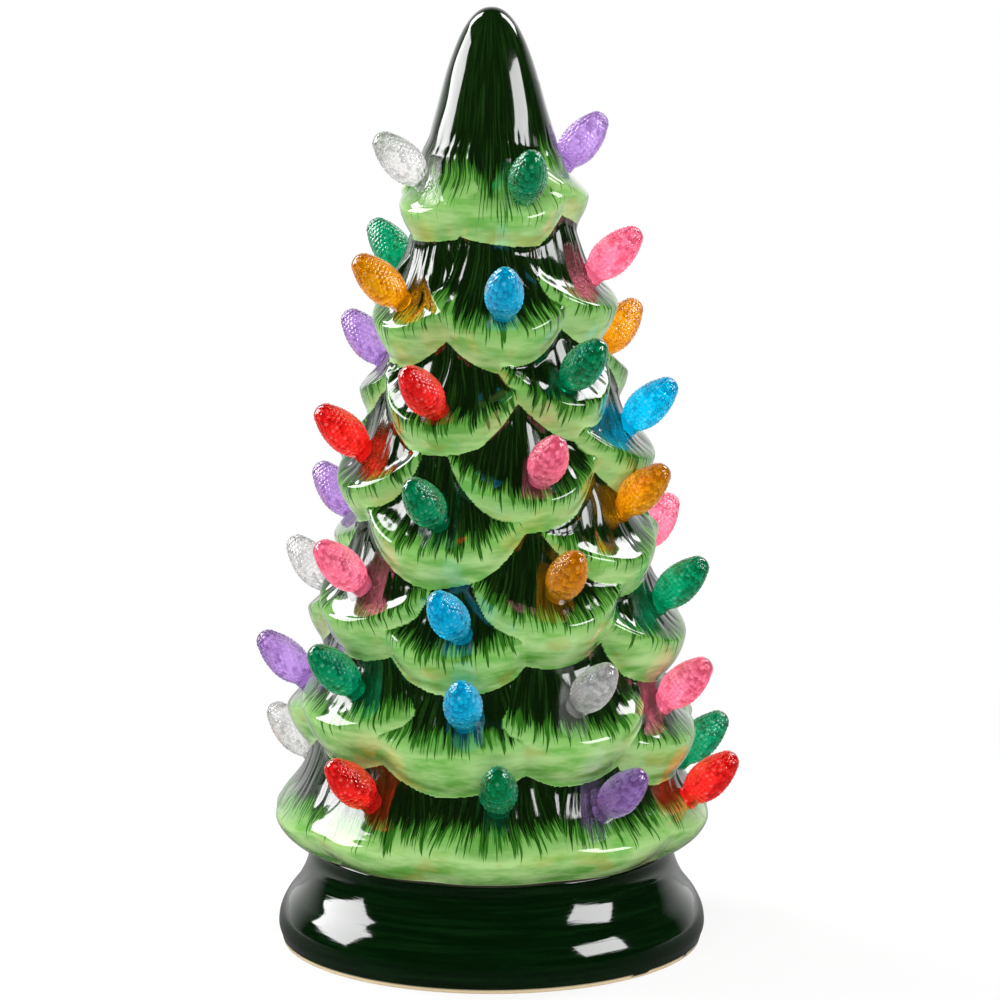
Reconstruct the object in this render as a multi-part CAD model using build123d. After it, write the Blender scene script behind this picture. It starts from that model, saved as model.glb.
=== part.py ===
from build123d import *
import math
import os

# Ceramic tabletop tree with plug-in bulbs, standing on a separate battery base.
# Millimetres, +Z up, origin at the middle of the foot ring, front towards -Y.
os.makedirs("parts", exist_ok=True)

# Overall sizes
overall_height = 229.0  # foot to tip
base_height = 25.0  # foot to the seat that carries the tree
skirt_reach = 53.3  # radius of the lowest tier
ceramic_wall = 4.6

# Modelled boughs: each flares out to a rolled lip, then turns in to the tier below
crease_depth = 6.5  # how far the edges of a bough lie behind its middle
lip_rise = 8.5  # how much the lip climbs towards those edges
flare_depth = 5.5  # how far the lip stands out from the slope above it
flare_length = 3.4  # height over which the flare dies away
hem_roll_radius = 11.0  # rolled hem below the lip
lip_round = 3.0
crease_round = 2.4
slope_share = 0.3  # fall of the upper slope, out per up
bough_height = 26.0  # above its lip a bough has run out by here
cone_height = 40.0  # plain cone above the top tier
cone_radius = 16.8
cone_round_share = 0.45  # power that rounds the cone into a blunt tip
cone_end_share = 1.5  # of the cone's height, where it has run out into the trunk
tip_cap_height = 4.0
core_round = 1.5
rings_below_tip = 56
sectors_per_ring = 12
points_per_sector = 8
tip_ring_shares = (0.0, 0.3, 0.55, 0.75, 0.89, 0.97, 0.998)

# Trunk behind the boughs: (share of overall height, share of skirt reach)
core_shares = (
    (0.105, 0.848),
    (0.144, 0.867),
    (0.201, 0.826),
    (0.288, 0.762),
    (0.393, 0.668),
    (0.485, 0.574),
    (0.568, 0.492),
    (0.646, 0.417),
    (0.725, 0.326),
    (0.873, 0.317),
)

# One row per tier: shares of crease depth, lip rise, flare length and hem roll radius,
# then its boughs: (azimuth, half width in degrees, lip share of height, reach share)
tier_shares = (
    (0.37, 0.42, 1.3, 1.0, (
        (14, 42, 0.795, 0.424), (92, 38, 0.808, 0.428), (164, 38, 0.803, 0.424),
        (-128, 38, 0.803, 0.424), (-58, 40, 0.797, 0.424))),
    (0.65, 0.59, 1.0, 1.0, (
        (6, 34, 0.681, 0.574), (72, 35, 0.694, 0.574), (136, 32, 0.690, 0.570),
        (190, 32, 0.686, 0.570), (-119, 33, 0.694, 0.563), (-56, 34, 0.679, 0.570))),
    (0.92, 0.94, 1.0, 1.0, (
        (-24, 36, 0.585, 0.649), (41, 33, 0.603, 0.638), (104, 33, 0.616, 0.623),
        (164, 32, 0.607, 0.638), (-144, 32, 0.611, 0.619), (-88, 31, 0.603, 0.591))),
    (1.0, 1.0, 1.0, 1.0, (
        (16, 32, 0.511, 0.739), (76, 33, 0.535, 0.743), (142, 33, 0.528, 0.735),
        (-164, 31, 0.524, 0.732), (-112, 29, 0.528, 0.717), (-62, 30, 0.511, 0.735))),
    (1.0, 0.94, 1.0, 1.0, (
        (-20, 33, 0.459, 0.807), (54, 35, 0.439, 0.807), (114, 31, 0.441, 0.799),
        (168, 30, 0.450, 0.799), (-138, 30, 0.445, 0.773), (-84, 32, 0.448, 0.709))),
    (0.85, 0.71, 1.0, 1.0, (
        (-50, 25, 0.380, 0.882), (-12, 25, 0.354, 0.901), (22, 24, 0.386, 0.889),
        (70, 26, 0.347, 0.906), (112, 24, 0.358, 0.896), (150, 23, 0.371, 0.893),
        (-170, 23, 0.363, 0.893), (-138, 23, 0.358, 0.882), (-102, 24, 0.360, 0.848))),
    (0.62, 0.40, 1.35, 1.0, (
        (-12, 24, 0.255, 0.957), (27, 22, 0.264, 0.949), (68, 24, 0.240, 0.957),
        (108, 22, 0.245, 0.949), (145, 22, 0.253, 0.949), (-176, 22, 0.249, 0.949),
        (-136, 22, 0.253, 0.938), (-96, 22, 0.257, 0.938), (-52, 25, 0.271, 0.946))),
    (0.25, 0.14, 1.45, 0.5, (
        (2, 21, 0.148, 1.0), (37, 20, 0.148, 1.0), (76, 21, 0.146, 1.0),
        (110, 20, 0.148, 1.0), (146, 20, 0.148, 1.0), (-178, 20, 0.148, 1.0),
        (-142, 20, 0.148, 1.0), (-108, 19, 0.148, 1.0), (-72, 19, 0.146, 1.0),
        (-36, 20, 0.148, 1.0))),
)

# Plug-in bulbs: an egg on a short collar, with a stem glued into a hole in the bough
bulb_radius = 4.75
bulb_length = 17.0
bulb_belly_share = 0.44  # of the bulb's length
bulb_shoulder_share = 0.86  # of the bulb's length
bulb_shoulder_radius = 3.0
collar_radius = 3.0
collar_height = 2.0
stem_radius = 2.45
stem_length = 9.0
stem_clearance = 0.1
socket_depth = 15.0  # the hole runs on into the hollow, to let the light through
bulb_clearance = 0.3
bulb_sink = 0.9  # how far the seat is cut into the slope
bulb_elevation = 44  # degrees above level

# Bulbs by colour: (azimuth, lean aside in degrees, share of overall height)
bulb_place_shares = {
    "red": (
        (172, 0, 0.821), (150, 2, 0.710), (-24, -15, 0.595), (-67, -6, 0.540), (-146, 3, 0.462),
        (-170, 0, 0.386), (142, 0, 0.279), (-38, -18, 0.188), (74, 7, 0.167)),
    "green": (
        (24, -15, 0.811), (-126, -3, 0.715), (37, 6, 0.619), (-166, 4, 0.546), (-20, -13, 0.484),
        (73, 2, 0.377), (-47, -13, 0.302), (2, -2, 0.194), (95, 0, 0.190)),
    "blue": (
        (6, -4, 0.696), (164, 0, 0.629), (76, 3, 0.564), (168, 3, 0.470), (-10, -19, 0.373),
        (-8, 4, 0.283), (146, 0, 0.190)),
    "amber": (
        (-57, -11, 0.699), (120, 6, 0.628), (62, 2, 0.481), (22, 1, 0.412), (-146, 0, 0.382),
        (-176, 0, 0.280), (-144, 0, 0.190)),
    "pink": (
        (77, 1, 0.722), (-146, 0, 0.629), (19, 1, 0.527), (117, 14, 0.412), (-49, -14, 0.409),
        (67, 5, 0.274), (-178, 4, 0.190)),
    "purple": (
        (112, 8, 0.833), (-116, -2, 0.619), (-112, -12, 0.452), (150, -3, 0.392), (-95, 0, 0.279),
        (34, 20, 0.181)),
    "clear": (
        (-67, -2, 0.822), (-170, -3, 0.707), (148, 0, 0.550), (-114, -4, 0.368), (27, 16, 0.294),
        (-138, 2, 0.279), (-110, 0, 0.185)),
}

# Base casting: a flared ring with a deck that carries and centres the tree
neck_radius = 44.8
bulge_radius = 52.4
foot_width = 4.0
foot_chamfer = 1.0
deck_thickness = 4.0
deck_opening_radius = 33.0
deck_edge_round = 1.4
inner_deck_radius = 39.5
rim_radius = 44.2
rim_height = 9.0
locating_rim_height = 4.0
locating_rim_width = 2.6
seat_clearance = 0.5
# Flare from foot to neck: (share of neck to bulge, share of base height)
base_flare_shares = (
    (0.96, 0.09), (1.0, 0.25), (0.78, 0.416), (0.37, 0.584), (0.08, 0.776), (0.0, 0.90))

# Plastic battery tray, glued up inside the foot ring
floor_recess = 3.0
plate_thickness = 2.4
tray_clearance = 0.3
bay_wall = 1.6
sealant_width = 1.6
running_clearance = 0.4
overrun = 1.0

# Three AAA cells lie side by side along X
cell_radius = 5.2
cell_body_length = 43.3
cell_button_radius = 1.9
cell_button_height = 1.1
cell_pitch = 11.0
cell_count = 3
cell_edge_round = 0.5
cell_clearance = 0.3
contact_sheet = 0.4
contact_size = 8.0
contact_button_radius = 2.2
contact_button_height = 0.6
contact_leaf_bulge = 2.2
contact_leaf_height = 5.0
contact_touch_gap = 0.05
solder_tab_width = 3.0
solder_tab_rise = 5.0
tab_clearance = 0.3

# Door over the cells, turning on two end pins
door_pin_radius = 0.6
door_pin_length = 1.5
door_pin_clearance = 0.1
finger_notch_radius = 1.8

# Slide switch behind the cells
switch_offset = 27.0
switch_length = 10.0
switch_width = 5.6
switch_height = 4.6
switch_travel = 3.0
slider_length = 4.6
slider_width = 3.6
slider_height = 2.0
knob_length = 3.0
knob_width = 2.2
knob_drop = 4.0
pin_width = 1.2
pin_rise = 1.6
pin_spacing = 5.0
slide_gap = 0.15

# Board with three lamps, screwed to posts on the roof of the bay
board_length = 32.0
board_width = 18.0
board_thickness = 1.6
post_radius = 2.4
post_height = 1.6
screw_spacing = 25.0
screw_radius = 1.0
screw_head_radius = 1.9
screw_head_height = 1.2
screw_depth = 2.6
screw_clearance = 0.05
lamp_count = 3
lamp_pitch = 7.0
lamp_radius = 2.5
lamp_flange_radius = 2.9
lamp_flange_height = 1.0
lamp_height = 8.0
wire_radius = 0.6
wire_rise = 4.0
wire_start = 3.0
wire_bend_share = 0.45  # of the shorter run beside a bend
wire_landing_share = 0.7  # of the board's half width

# Places that follow from the sizes above
plate_bottom = floor_recess
plate_top = floor_recess + plate_thickness
foot_inner_radius = bulge_radius - foot_chamfer - foot_width
tray_radius = foot_inner_radius - tray_clearance
cell_length = cell_body_length + cell_button_height
bay_length = cell_length + 2 * contact_sheet + contact_button_height
bay_length += contact_leaf_bulge + contact_touch_gap
bay_width = cell_count * cell_pitch + 2 * cell_clearance
cell_height = plate_top + cell_clearance + cell_radius
bay_ceiling = cell_height + cell_radius + cell_clearance
bay_roof = bay_ceiling + bay_wall
board_bottom = bay_roof + post_height
board_top = board_bottom + board_thickness
tab_top = bay_roof + solder_tab_rise
door_axis_y = running_clearance + plate_thickness / 2 - bay_width / 2
door_axis_z = plate_bottom + plate_thickness / 2


def block(length, width, bottom, top, x=0, y=0):
    """Upright box between two heights, centred at x, y."""
    centre = (x, y, (bottom + top) / 2)
    return Pos(*centre) * Box(length, width, top - bottom)


def post(radius, bottom, top, x=0, y=0):
    """Upright cylinder between two heights."""
    return Pos(x, y, (bottom + top) / 2) * Cylinder(radius, top - bottom)


def turned(points):
    """Solid of revolution of a closed outline of (radius, height) points."""
    return revolve(Plane.XZ * make_face(Polyline(*points, close=True)), Axis.Z)


def between(rows, value):
    """Straight interpolation in rows of (place, size)."""
    if value <= rows[0][0]:
        return rows[0][1]
    for (low, size_low), (high, size_high) in zip(rows, rows[1:]):
        if value <= high:
            return size_low + (size_high - size_low) * (value - low) / (high - low)
    return rows[-1][1]


def soft_max(a, b, width):
    return max(a, b) + max(width - abs(a - b), 0) ** 2 / (4 * width)


def soft_min(a, b, width):
    return min(a, b) - max(width - abs(a - b), 0) ** 2 / (4 * width)


core_rows = [(height * overall_height, reach * skirt_reach) for height, reach in core_shares]


def core_radius(z):
    """Trunk behind the boughs, closing in the blunt cone at the top."""
    trunk = between(core_rows, z)
    below_tip_share = max(overall_height - z, 0) / cone_height
    if below_tip_share > cone_end_share:
        return trunk
    return soft_min(cone_radius * below_tip_share**cone_round_share, trunk, core_round)


def bough_radius(azimuth, z, tier, bough):
    """Height field of one bough: flare above its lip, rolled hem below."""
    crease, rise, flare, roll, _ = tier
    middle, half_width, lip, reach = bough
    aside = (azimuth - middle + 180) % 360 - 180
    spread = min((aside / half_width) ** 2, 3)
    lip_z = lip * overall_height + rise * lip_rise * spread
    lip_radius = reach * skirt_reach - crease * crease_depth * spread
    above = max(z - lip_z, 0)
    below = min(z - lip_z, 0)
    length = flare * flare_length
    upper = lip_radius - flare_depth * (1 - math.exp(-above / length)) - slope_share * above
    upper -= (flare_depth / length + slope_share) * below + max(above - bough_height, 0)
    lower = lip_radius - below**2 / (2 * roll * hem_roll_radius)
    return soft_min(upper, lower, lip_round) + lip_round / 4


def skin_radius(azimuth, z):
    """Outside of the tree: the boughs blended into the trunk."""
    radius = core_radius(z)
    for tier in tier_shares:
        for bough in tier[-1]:
            radius = soft_max(radius, bough_radius(azimuth, z, tier, bough), crease_round)
    return radius


def around(azimuth, radius, z):
    """Point at an azimuth counted from the front (-Y) towards +X."""
    angle = math.radians(azimuth)
    return Vector(radius * math.sin(angle), -radius * math.cos(angle), z)


def skin_ring(z):
    """Level outline of the tree, as one curve per sector."""
    sector = 360 / sectors_per_ring
    step = sector / points_per_sector
    edges = []
    for index in range(sectors_per_ring):
        azimuths = [180 + sector * index + step * i for i in range(points_per_sector + 1)]
        edges.append(Spline(*[around(a, skin_radius(a, z), z) for a in azimuths]))
    return Wire(edges)


def ring_heights():
    tip_start = overall_height - tip_cap_height
    step = (tip_start - base_height) / rings_below_tip
    heights = [base_height + step * i for i in range(rings_below_tip)]
    return heights + [tip_start + tip_cap_height * share for share in tip_ring_shares]


def cavity_radius(z):
    return core_radius(z) - ceramic_wall


def tree_cavity():
    """Hollow inside the casting, open at the seat and closed below the cone's tip."""
    top = overall_height - cone_height / 2
    heights = [z for z, _ in core_rows if base_height < z < top] + [top]
    bottom = base_height - overrun
    points = [(0, bottom), (cavity_radius(base_height), bottom)]
    points += [(cavity_radius(base_height), base_height)]
    points += [(cavity_radius(z), z) for z in heights] + [(0, top)]
    return turned(points)


def bulb_plane(azimuth, lean, height_share):
    """Seat of a bulb in the slope of its bough, with Z along the bulb."""
    z = height_share * overall_height
    seat = around(azimuth, skin_radius(azimuth, z), z)
    rise = math.radians(bulb_elevation)
    axis = around(azimuth + lean, math.cos(rise), math.sin(rise))
    return Plane(origin=seat - axis * bulb_sink, z_dir=axis)


def bulb_socket():
    """Stem hole, spot face for the collar and a counterbore that clears the egg."""
    hole = stem_radius + stem_clearance
    face = collar_radius + bulb_clearance
    mouth = bulb_radius + bulb_clearance
    floor = collar_height - bulb_clearance
    return turned([
        (0, -socket_depth), (hole, -socket_depth), (hole, 0), (face, 0), (face, floor), (mouth, floor),
        (mouth, bulb_length), (0, bulb_length)])


def bulb():
    """Egg, collar and stem in one moulding, along +Z from its seat."""
    belly = (bulb_radius, bulb_belly_share * bulb_length)
    shoulder = (bulb_shoulder_radius, bulb_shoulder_share * bulb_length)
    lower = TangentArc(belly, (collar_radius, collar_height), tangent=(0, -1))
    upper = TangentArc(belly, shoulder, tangent=(0, 1))
    crown = TangentArc((0, bulb_length), shoulder, tangent=(1, 0))
    foot = Polyline(
        (0, bulb_length),
        (0, -stem_length),
        (stem_radius, -stem_length),
        (stem_radius, 0),
        (collar_radius, 0),
        (collar_radius, collar_height),
    )
    return revolve(Plane.XZ * make_face(Curve() + foot + lower + upper + crown), Axis.Z)


def tree_shell():
    skin = Solid.make_loft([skin_ring(z) for z in ring_heights()], ruled=True)
    socket = bulb_socket()
    places = [place for colour_places in bulb_place_shares.values() for place in colour_places]
    return Part() + skin - tree_cavity() - [bulb_plane(*place) * socket for place in places]


def bulbs(colour):
    one = bulb()
    return Compound(children=[bulb_plane(*place) * one for place in bulb_place_shares[colour]])


def base_shell():
    """Flared ceramic ring with a deck, a locating rim for the tree and a ledge for the tray."""
    swell = bulge_radius - neck_radius
    flare = [(neck_radius + swell * out, base_height * up) for out, up in base_flare_shares]
    rim_outer = cavity_radius(base_height) - seat_clearance
    rim_inner = rim_outer - locating_rim_width
    rim_top = base_height + locating_rim_height
    deck_bottom = base_height - deck_thickness
    neck = (neck_radius, base_height - deck_edge_round)
    shoulder = (neck_radius - deck_edge_round, base_height)
    inside = Polyline(
        (deck_opening_radius, base_height), (deck_opening_radius, deck_bottom),
        (inner_deck_radius, deck_bottom), (rim_radius, rim_height), (rim_radius, plate_top),
        (foot_inner_radius, plate_top), (foot_inner_radius, 0), (foot_inner_radius + foot_width, 0),
        flare[0])
    outside = Spline(*flare, tangents=((1, 2), (0, 1)))
    edge = TangentArc(neck, shoulder, tangent=(0, 1))
    top = Polyline(
        shoulder, (rim_outer, base_height), (rim_outer, rim_top), (rim_inner, rim_top),
        (rim_inner, base_height), (deck_opening_radius, base_height))
    outline = Curve() + inside + outside + Line(flare[-1], neck) + edge + top
    return revolve(Plane.XZ * make_face(outline), Axis.Z)


def battery_tray():
    """Round closing plate with the cell bay, posts for the board and the switch slot."""
    tray = post(tray_radius, plate_bottom, plate_top)
    tray += block(bay_length + 2 * bay_wall, bay_width + 2 * bay_wall, plate_top, bay_roof)
    tray -= block(bay_length, bay_width, plate_bottom - overrun, bay_ceiling)
    for side in (-1, 1):
        tray += post(post_radius, bay_roof, board_bottom, side * screw_spacing / 2)
    drill = screw_radius + screw_clearance
    for side in (-1, 1):
        tray -= post(drill, board_bottom - screw_depth, board_bottom, side * screw_spacing / 2)
    slot = knob_length + switch_travel + 2 * running_clearance
    tray -= block(slot, knob_width + 2 * running_clearance, 0, plate_top + overrun, 0, switch_offset)
    hole = door_pin_radius + door_pin_clearance
    reach = bay_length + 2 * door_pin_length
    tray -= Pos(0, door_axis_y, door_axis_z) * Rot(0, 90, 0) * Cylinder(hole, reach)
    for side in (-1, 1):
        tray -= block(
            contact_sheet + tab_clearance, solder_tab_width + 2 * tab_clearance, bay_ceiling - overrun,
            bay_roof + overrun, side * (bay_length - contact_sheet + tab_clearance) / 2, side * cell_pitch)
    return tray


def tray_sealant():
    """Bead of sealant in the corner between the tray and the foot ring."""
    return turned([
        (foot_inner_radius - sealant_width, plate_bottom), (foot_inner_radius, plate_bottom),
        (foot_inner_radius, plate_bottom - sealant_width)])


def battery_door():
    """Flush lid with a round hinge edge, two end pins and a finger notch."""
    length = bay_length - 2 * running_clearance
    far_edge = bay_width / 2 - running_clearance
    width = far_edge - door_axis_y
    lid = block(length, width, plate_bottom, plate_top, 0, (far_edge + door_axis_y) / 2)
    hinge = Pos(0, door_axis_y, door_axis_z) * Rot(0, 90, 0)
    lid += hinge * Cylinder(plate_thickness / 2, length)
    pin_reach = bay_length + 2 * door_pin_length - 2 * running_clearance
    lid += hinge * Cylinder(door_pin_radius, pin_reach)
    return lid - Pos(0, far_edge, plate_bottom) * Sphere(finger_notch_radius)


def cell_row(index):
    return (index - (cell_count - 1) / 2) * cell_pitch


def cell_way(index):
    """+1 where the cell's button points to +X, in turn along the rows."""
    return 1 if index % 2 == 0 else -1


def battery(index):
    """AAA cell with its button, lying along X."""
    can = Cylinder(cell_radius, cell_body_length)
    can = fillet(can.edges().filter_by(GeomType.CIRCLE), cell_edge_round)
    button = post(cell_button_radius, cell_body_length / 2, cell_body_length / 2 + cell_button_height)
    way = cell_way(index)
    contact_end = bay_length / 2 - contact_sheet - contact_button_height
    middle = way * (contact_end - cell_button_height - cell_body_length / 2)
    return Pos(middle, cell_row(index), cell_height) * Rot(0, 90 * way, 0) * (can + button)


def contact_sheet_at(side, low_row, high_row):
    """Upright sheet against one end wall of the bay, across one or two rows."""
    x = side * (bay_length - contact_sheet) / 2
    width = high_row - low_row + contact_size
    low = cell_height - contact_size / 2
    return block(contact_sheet, width, low, low + contact_size, x, (low_row + high_row) / 2)


def button_contact(side, row):
    x = side * (bay_length / 2 - contact_sheet - contact_button_height / 2)
    return Pos(x, row, cell_height) * Rot(0, 90, 0) * Cylinder(contact_button_radius, contact_button_height)


def leaf_contact(side, row):
    """Arched leaf that presses on the flat end of a cell."""
    face = bay_length / 2 - contact_sheet
    half = contact_size / 2
    foot = half - contact_sheet
    crown = face - contact_leaf_bulge
    outer = ThreePointArc((face, -half), (crown, 0), (face, half))
    inner = ThreePointArc((face, foot), (crown + contact_sheet, 0), (face, -foot))
    ends = Line((face, half), (face, foot)) + Line((face, -foot), (face, -half))
    strip = extrude(make_face(Curve() + outer + inner + ends), contact_leaf_height)
    turn = 0 if side > 0 else 180
    return Pos(0, row, cell_height - contact_leaf_height / 2) * Rot(0, 0, turn) * strip


def solder_tab(side, row):
    x = side * (bay_length - contact_sheet) / 2
    return block(contact_sheet, solder_tab_width, cell_height, tab_top, x, row)


def end_terminal(side, row, contact):
    return contact_sheet_at(side, row, row) + contact(side, row) + solder_tab(side, row)


def series_link(side, button_row, leaf_row):
    low, high = sorted((button_row, leaf_row))
    link = contact_sheet_at(side, low, high)
    return link + button_contact(side, button_row) + leaf_contact(side, leaf_row)


def switch_body():
    """Switch housing on the tray, with a pocket for the slider and two solder pins."""
    top = plate_top + switch_height
    body = block(switch_length, switch_width, plate_top, top, 0, switch_offset)
    pocket = slider_length + switch_travel + 2 * running_clearance
    roof = plate_top + slider_height + 2 * slide_gap
    body -= block(pocket, slider_width + 2 * running_clearance, plate_top - overrun, roof, 0, switch_offset)
    for side in (-1, 1):
        body += block(pin_width, pin_width, top, top + pin_rise, side * pin_spacing / 2, switch_offset)
    return body


def switch_slider():
    """Shoe inside the switch with the knob that reaches down through the tray."""
    x = -switch_travel / 2
    bottom = plate_top + slide_gap
    shoe = block(slider_length, slider_width, bottom, bottom + slider_height, x, switch_offset)
    return shoe + block(knob_length, knob_width, plate_top - knob_drop, bottom, x, switch_offset)


def led_board():
    board = block(board_length, board_width, board_bottom, board_top)
    for side in (-1, 1):
        board -= post(screw_radius + screw_clearance, board_bottom, board_top, side * screw_spacing / 2)
    return board


def board_screws():
    screws = []
    for side in (-1, 1):
        x = side * screw_spacing / 2
        shank = post(screw_radius, board_bottom - screw_depth + screw_clearance, board_top, x)
        screws.append(shank + post(screw_head_radius, board_top, board_top + screw_head_height, x))
    return Compound(children=screws)


def led(index):
    """Round-topped lamp standing on the board."""
    x = (index - (lamp_count - 1) / 2) * lamp_pitch
    lamp = post(lamp_flange_radius, board_top, board_top + lamp_flange_height, x)
    dome = board_top + lamp_height - lamp_radius
    lamp += post(lamp_radius, board_top, dome, x)
    return lamp + Pos(x, 0, dome) * Sphere(lamp_radius)


def wire(name, route):
    """Insulated lead along straight runs joined by wide arcs."""
    runs = [b - a for a, b in zip(route, route[1:])]
    radii = []
    for before, after in zip(runs, runs[1:]):
        turn = math.radians(before.get_angle(after))
        radii.append(wire_bend_share * min(before.length, after.length) / math.tan(turn / 2))
    path = FilletPolyline(*route, radius=radii)
    tube = sweep(Plane(origin=path @ 0, z_dir=path % 0) * Circle(wire_radius), path)
    fill = tube.volume / (math.pi * wire_radius**2 * path.length)
    print(name, "radii", [round(r, 2) for r in radii], "fill", round(fill, 4))
    return tube


def wires():
    """Leads from the end terminals to the switch and the board."""
    tab_x = bay_length / 2 - contact_sheet
    tab_z = tab_top - wire_radius - wire_start / 2
    over = tab_top + wire_rise
    landing = wire_landing_share * board_width / 2
    pin_x = pin_spacing / 2
    pin_z = plate_top + switch_height + pin_rise
    edge_x = board_length / 2
    minus = [
        Vector(-tab_x, -cell_pitch, tab_z), Vector(wire_start - tab_x, -cell_pitch, tab_z),
        Vector(-edge_x, -(landing + cell_pitch) / 2, over), Vector(-board_width / 2, -landing, over),
        Vector(-board_width / 2, -landing, board_top)]
    plus = [
        Vector(tab_x, cell_pitch, tab_z), Vector(tab_x - wire_start, cell_pitch, tab_z),
        Vector(edge_x, (cell_pitch + switch_offset) / 2, over),
        Vector(pin_x, switch_offset, over), Vector(pin_x, switch_offset, pin_z)]
    link = [
        Vector(-pin_x, switch_offset, pin_z), Vector(-pin_x, switch_offset, over),
        Vector(-pin_x, landing, over + wire_rise / 2), Vector(-pin_x, landing, board_top)]
    return {"negative_wire": minus, "positive_wire": plus, "switch_wire": link}


def save(name, shape):
    shape.label = name
    export_step(shape, f"parts/{name}.step")


save("tree_shell", tree_shell())
for colour in bulb_place_shares:
    save(f"{colour}_bulbs", bulbs(colour))
save("base_shell", base_shell())
save("battery_tray", battery_tray())
save("tray_sealant", tray_sealant())
save("battery_door", battery_door())
for index in range(cell_count):
    save(f"battery_{index + 1}", battery(index))
first_row = cell_row(0)
last_row = cell_row(cell_count - 1)
save("negative_terminal", end_terminal(-1, first_row, leaf_contact))
save("positive_terminal", end_terminal(1, last_row, button_contact))
save("series_link_left", series_link(-1, 0, last_row))
save("series_link_right", series_link(1, first_row, 0))
save("switch_body", switch_body())
save("switch_slider", switch_slider())
save("led_board", led_board())
save("board_screws", board_screws())
for index in range(lamp_count):
    save(f"led_{index + 1}", led(index))
for name, route in wires().items():
    save(name, wire(name, route))
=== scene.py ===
import math
import bpy
import numpy as np
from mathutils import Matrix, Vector


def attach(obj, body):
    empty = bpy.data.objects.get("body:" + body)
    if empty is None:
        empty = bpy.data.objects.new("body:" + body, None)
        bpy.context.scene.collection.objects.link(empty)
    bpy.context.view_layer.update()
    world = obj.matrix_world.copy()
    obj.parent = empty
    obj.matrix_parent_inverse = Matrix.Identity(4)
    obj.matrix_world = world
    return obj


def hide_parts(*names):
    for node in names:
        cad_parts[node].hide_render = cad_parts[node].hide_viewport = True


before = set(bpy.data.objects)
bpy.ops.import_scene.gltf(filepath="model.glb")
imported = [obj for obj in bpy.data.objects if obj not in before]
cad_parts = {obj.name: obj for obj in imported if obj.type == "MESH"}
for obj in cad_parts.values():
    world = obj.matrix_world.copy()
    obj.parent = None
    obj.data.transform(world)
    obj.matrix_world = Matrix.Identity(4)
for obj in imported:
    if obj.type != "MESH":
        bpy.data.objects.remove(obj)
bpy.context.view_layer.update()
mm = 0.001

# small helpers that every piece uses


def softMax(a, b, width):
    return np.maximum(a, b) + np.maximum(width - np.abs(a - b), 0) ** 2 / (4 * width)


def softMin(a, b, width):
    return np.minimum(a, b) - np.maximum(width - np.abs(a - b), 0) ** 2 / (4 * width)


def ramp(value, low, high):
    t = np.clip((value - low) / (high - low), 0, 1)
    return t * t * (3 - 2 * t)


def speckle(ix, iy, seed):
    wave = np.sin(ix * 127.1 + iy * 311.7 + seed * 74.7) * 43758.5453
    return wave - np.floor(wave)


def cloud(x, y, seed):
    # smooth lumps between 0 and 1, one lump per unit of x and y
    ix, iy = np.floor(x), np.floor(y)
    fx, fy = x - ix, y - iy
    fx, fy = fx * fx * (3 - 2 * fx), fy * fy * (3 - 2 * fy)
    low = speckle(ix, iy, seed) * (1 - fx) + speckle(ix + 1, iy, seed) * fx
    high = speckle(ix, iy + 1, seed) * (1 - fx) + speckle(ix + 1, iy + 1, seed) * fx
    return low * (1 - fy) + high * fy


def makePiece(name, points, faceSets, smooth=True):
    # each face set is a table with the same number of corners in every row
    faceSets = [np.asarray(faces, dtype=np.int32) for faces in faceSets]
    corners = np.concatenate([faces.ravel() for faces in faceSets])
    counts = np.concatenate([np.full(len(faces), faces.shape[1]) for faces in faceSets])
    mesh = bpy.data.meshes.new(name)
    mesh.vertices.add(len(points))
    mesh.vertices.foreach_set("co", (np.asarray(points) * mm).astype(np.float32).ravel())
    mesh.loops.add(len(corners))
    mesh.loops.foreach_set("vertex_index", corners)
    mesh.polygons.add(len(counts))
    mesh.polygons.foreach_set("loop_start", (np.cumsum(counts) - counts).astype(np.int32))
    mesh.update(calc_edges=True)
    mesh.validate()
    mesh.polygons.foreach_set("use_smooth", np.full(len(mesh.polygons), smooth))
    piece = bpy.data.objects.new(name, mesh)
    bpy.context.scene.collection.objects.link(piece)
    return piece


def paintValues(piece, name, values):
    layer = piece.data.attributes.new(name, "FLOAT", "POINT")
    layer.data.foreach_set("value", np.asarray(values, dtype=np.float32).ravel())


def paintVectors(piece, name, vectors):
    layer = piece.data.attributes.new(name, "FLOAT_VECTOR", "POINT")
    layer.data.foreach_set("vector", np.asarray(vectors, dtype=np.float32).ravel())


def ringFaces(rows, columns, first=0):
    # quads of a closed grid, row by row
    row, column = np.meshgrid(np.arange(rows - 1), np.arange(columns), indexing="ij")
    here = first + row * columns + column
    beside = first + row * columns + (column + 1) % columns
    return np.stack([here, beside, beside + columns, here + columns], -1).reshape(-1, 4)


def fanFaces(first, columns, point, outward=True):
    # triangles from one ring of points to a single point
    here = first + np.arange(columns)
    beside = first + (np.arange(columns) + 1) % columns
    ring = (here, beside) if outward else (beside, here)
    return np.stack([ring[0], ring[1], np.full(columns, point)], -1)


# the camera stands at the photo's place, level with the tip and looking a little down

view = {"place": (0, -1.1, 0.3177), "pitch": 10.73, "lens": 165.7, "shiftX": 0.0085}
camera = bpy.data.cameras.new("camera")
camera.lens = view["lens"]
camera.sensor_width = 36
camera.shift_x = view["shiftX"]
cameraHolder = bpy.data.objects.new("camera", camera)
cameraHolder.location = view["place"]
cameraHolder.rotation_euler = (math.radians(90 - view["pitch"]), 0, 0)
bpy.context.scene.collection.objects.link(cameraHolder)
bpy.context.scene.camera = cameraHolder
bpy.context.scene.view_settings.view_transform = "Standard"
print("camera placed")

# studio: two window softboxes at the sides, two high behind, and a fill that gives no glint

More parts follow.
